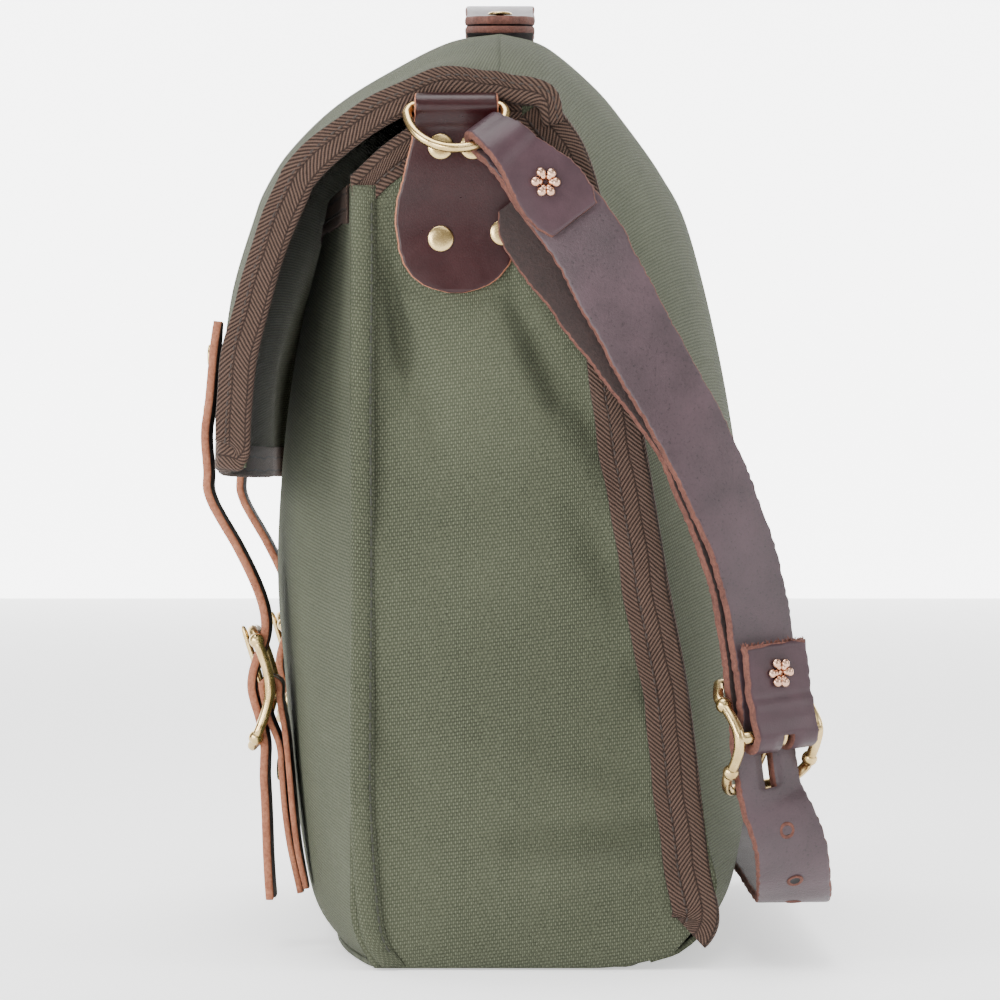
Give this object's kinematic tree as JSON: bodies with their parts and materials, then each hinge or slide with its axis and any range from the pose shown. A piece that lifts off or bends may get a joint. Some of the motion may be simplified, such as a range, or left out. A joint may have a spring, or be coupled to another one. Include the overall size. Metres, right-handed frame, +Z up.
{
  "type": "messenger bag",
  "caption": "Canvas messenger bag with a taped flap, leather closure straps in buckles, a short carry handle and an adjustable shoulder strap on swinging rings.",
  "frame": {"origin": "middle of the flat base face, on the surface the bag stands on", "axes": "+Z up, +X along the bag's width, -Y toward the front where the flap and buckles are"},
  "size_m": [0.4317, 0.2173, 0.3404],
  "materials": {
    "canvas": "plain weave, washed",
    "herringbone_tape": "twill tape, stitched",
    "strap_leather": "oiled, raw edges",
    "tab_leather": "glossy, tan raw edges",
    "brass": "satin, aged"
  },
  "bodies": {
    "bag": {"back_binding_left": "herringbone_tape", "back_binding_right": "herringbone_tape", "back_panel": "canvas", "base_panel": "canvas", "buckle_frame_left": "brass", "buckle_frame_right": "brass", "buckle_rivet_left": "brass", "buckle_rivet_right": "brass", "buckle_tab_left": "tab_leather", "buckle_tab_right": "tab_leather", "front_panel": "canvas", "mouth_binding_front": "herringbone_tape", "mouth_binding_left": "herringbone_tape", "mouth_binding_right": "herringbone_tape", "ring_rivet_a_left": "brass", "ring_rivet_a_right": "brass", "ring_rivet_b_left": "brass", "ring_rivet_b_right": "brass", "ring_rivet_c_left": "brass", "ring_rivet_c_right": "brass", "ring_rivet_d_left": "brass", "ring_rivet_d_right": "brass", "ring_tab_left": "tab_leather", "ring_tab_right": "tab_leather", "side_gusset_left": "canvas", "side_gusset_right": "canvas"},
    "flap_top": {"carry_handle": "strap_leather", "flap_binding_left": "herringbone_tape", "flap_binding_right": "herringbone_tape", "flap_top": "canvas", "handle_base": "strap_leather", "handle_rivet_left": "brass", "handle_rivet_right": "brass"},
    "flap_front": {"closure_rivet_high_left": "brass", "closure_rivet_high_right": "brass", "closure_rivet_low_left": "brass", "closure_rivet_low_right": "brass", "closure_strap_left": "strap_leather", "closure_strap_right": "strap_leather", "flap_binding_front": "herringbone_tape", "flap_front": "canvas"},
    "shoulder_strap": {"flower_rivet_buckle": "brass", "flower_rivet_eye_left": "brass", "flower_rivet_eye_right": "brass", "shoulder_buckle_frame": "brass", "strap_eye_left": "strap_leather", "strap_eye_right": "strap_leather", "strap_long": "strap_leather", "strap_short": "strap_leather"},
    "prong_left": {"prong_left": "brass"},
    "prong_right": {"prong_right": "brass"},
    "ring_left": {"ring_left": "brass"},
    "ring_right": {"ring_right": "brass"},
    "shoulder_prong": {"shoulder_prong": "brass"}
  },
  "joints": [
    {"name": "flap_lift", "type": "hinge", "parent": "bag", "child": "flap_top", "pos_m": [0, 0.022, 0.316], "axis": [-1, 0, 0], "range_deg": [0, 150], "deforming": ["closure_strap_right", "closure_strap_left"]},
    {"name": "flap_unfold", "type": "hinge", "parent": "flap_top", "child": "flap_front", "pos_m": [0, -0.08, 0.264], "axis": [-1, 0, 0], "range_deg": [0, 60]},
    {"name": "strap_swing", "type": "hinge", "parent": "bag", "child": "shoulder_strap", "pos_m": [0, -0.0145, 0.288], "axis": [1, 0, 0], "range_deg": [0, 136], "deforming": ["strap_eye_right", "strap_eye_left"]},
    {"name": "ring_right_turn", "type": "hinge", "parent": "bag", "child": "ring_right", "pos_m": [0.1945, -0.0145, 0.288], "axis": [0, -1, 0], "range_deg": [0, 120]},
    {"name": "ring_left_turn", "type": "hinge", "parent": "bag", "child": "ring_left", "pos_m": [-0.1945, -0.0145, 0.288], "axis": [0, 1, 0], "range_deg": [0, 120]},
    {"name": "prong_right_turn", "type": "hinge", "parent": "bag", "child": "prong_right", "pos_m": [0.1, -0.08045, 0.091], "axis": [1, 0, 0], "range_deg": [0, 45]},
    {"name": "prong_left_turn", "type": "hinge", "parent": "bag", "child": "prong_left", "pos_m": [-0.1, -0.08045, 0.091], "axis": [1, 0, 0], "range_deg": [0, 45]},
    {"name": "shoulder_prong_turn", "type": "hinge", "parent": "shoulder_strap", "child": "shoulder_prong", "pos_m": [0.20518, 0.09208, 0.08008], "axis": [-0.5422, 0.8349, 0.0952], "range_deg": [0, 24]}
  ],
  "couplings": [
    {"joint": "flap_unfold", "follows": "flap_lift", "ratio": 0.4},
    {"joint": "ring_right_turn", "follows": "strap_swing", "ratio": 0.88235},
    {"joint": "ring_left_turn", "follows": "strap_swing", "ratio": 0.88235}
  ]
}
